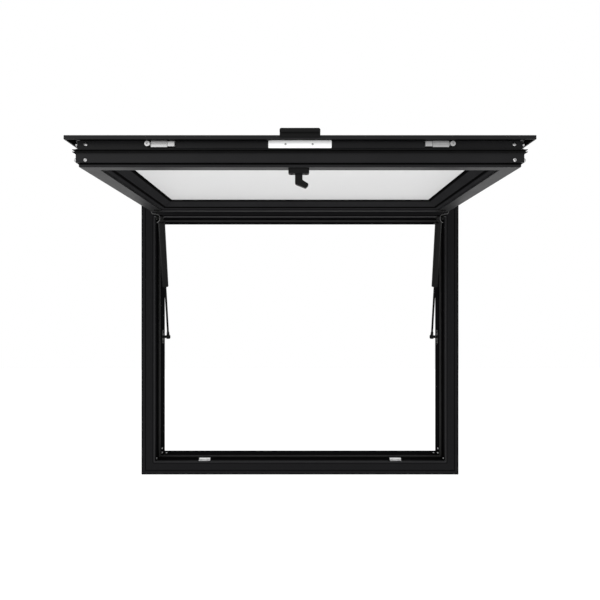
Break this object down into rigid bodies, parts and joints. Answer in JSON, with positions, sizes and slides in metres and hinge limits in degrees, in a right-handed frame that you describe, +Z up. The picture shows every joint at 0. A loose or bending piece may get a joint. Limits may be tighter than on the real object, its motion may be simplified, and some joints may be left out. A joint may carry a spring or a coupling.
{
  "type": "aluminium awning serving window",
  "caption": "Top-hung aluminium serving window: flanged wall frame, glazed sash swung level on gas struts, lock on the free edge.",
  "frame": {"origin": "middle of the sill flange's back face, on the wall face", "axes": "+X along the sill to the right seen from outside, +Y into the wall, +Z up"},
  "size_m": [0.9144, 0.9116, 0.8137],
  "materials": {
    "frame_coat": "satin black powder coat on extruded aluminium",
    "sash_coat": "satin black powder coat on extruded aluminium",
    "bead_coat": "matt black powder coat on snap-in aluminium beads",
    "epdm": "black EPDM extrusion",
    "tape": "black closed-cell glazing tape",
    "glass": "float glass with an etched, evenly pale face",
    "spacer": "mill-finish spacer bar",
    "lock_plate": "bright plated steel",
    "lock_zinc": "plated zinc die casting",
    "lock_bar": "black coated steel flat",
    "keeper_steel": "plated steel",
    "pull_coat": "black powder coat",
    "handle_coat": "black powder coat on zinc die casting",
    "strut_rod": "black nitrided steel rod",
    "strut_tube": "black paint on steel tube",
    "strut_eye": "black glass-filled nylon",
    "strut_bracket": "black coated steel"
  },
  "bodies": {
    "root": {"bead_hinge_side": "bead_coat", "bead_left": "bead_coat", "bead_lock_side": "bead_coat", "bead_right": "bead_coat", "frame_head": "frame_coat", "frame_left_jamb": "frame_coat", "frame_right_jamb": "frame_coat", "frame_seal": "epdm", "frame_sill": "frame_coat", "glass_inner_pane": "glass", "glass_outer_pane": "glass", "glass_spacer": "spacer", "glazing_gasket": "epdm", "glazing_tape": "tape", "hinge_bead_leaf": "sash_coat", "hinge_hook_rail": "sash_coat", "inside_handle_base": "handle_coat", "inside_handle_lever": "handle_coat", "left_hinge_cap": "strut_bracket", "left_keeper": "keeper_steel", "left_lock_bar": "lock_bar", "left_lock_point": "lock_zinc", "left_strut_foot": "strut_bracket", "left_strut_head": "strut_bracket", "left_strut_low_eye": "strut_eye", "left_strut_rod": "strut_rod", "left_strut_top_eye": "strut_eye", "left_strut_tube": "strut_tube", "lock_face_plate": "lock_plate", "outside_pull": "pull_coat", "right_hinge_cap": "strut_bracket", "right_keeper": "keeper_steel", "right_lock_bar": "lock_bar", "right_lock_point": "lock_zinc", "right_strut_foot": "strut_bracket", "right_strut_head": "strut_bracket", "right_strut_low_eye": "strut_eye", "right_strut_rod": "strut_rod", "right_strut_top_eye": "strut_eye", "right_strut_tube": "strut_tube", "sash_hinge_rail": "sash_coat", "sash_left_stile": "sash_coat", "sash_lock_rail": "sash_coat", "sash_right_stile": "sash_coat", "weather_gasket": "epdm"}
  },
  "joints": []
}
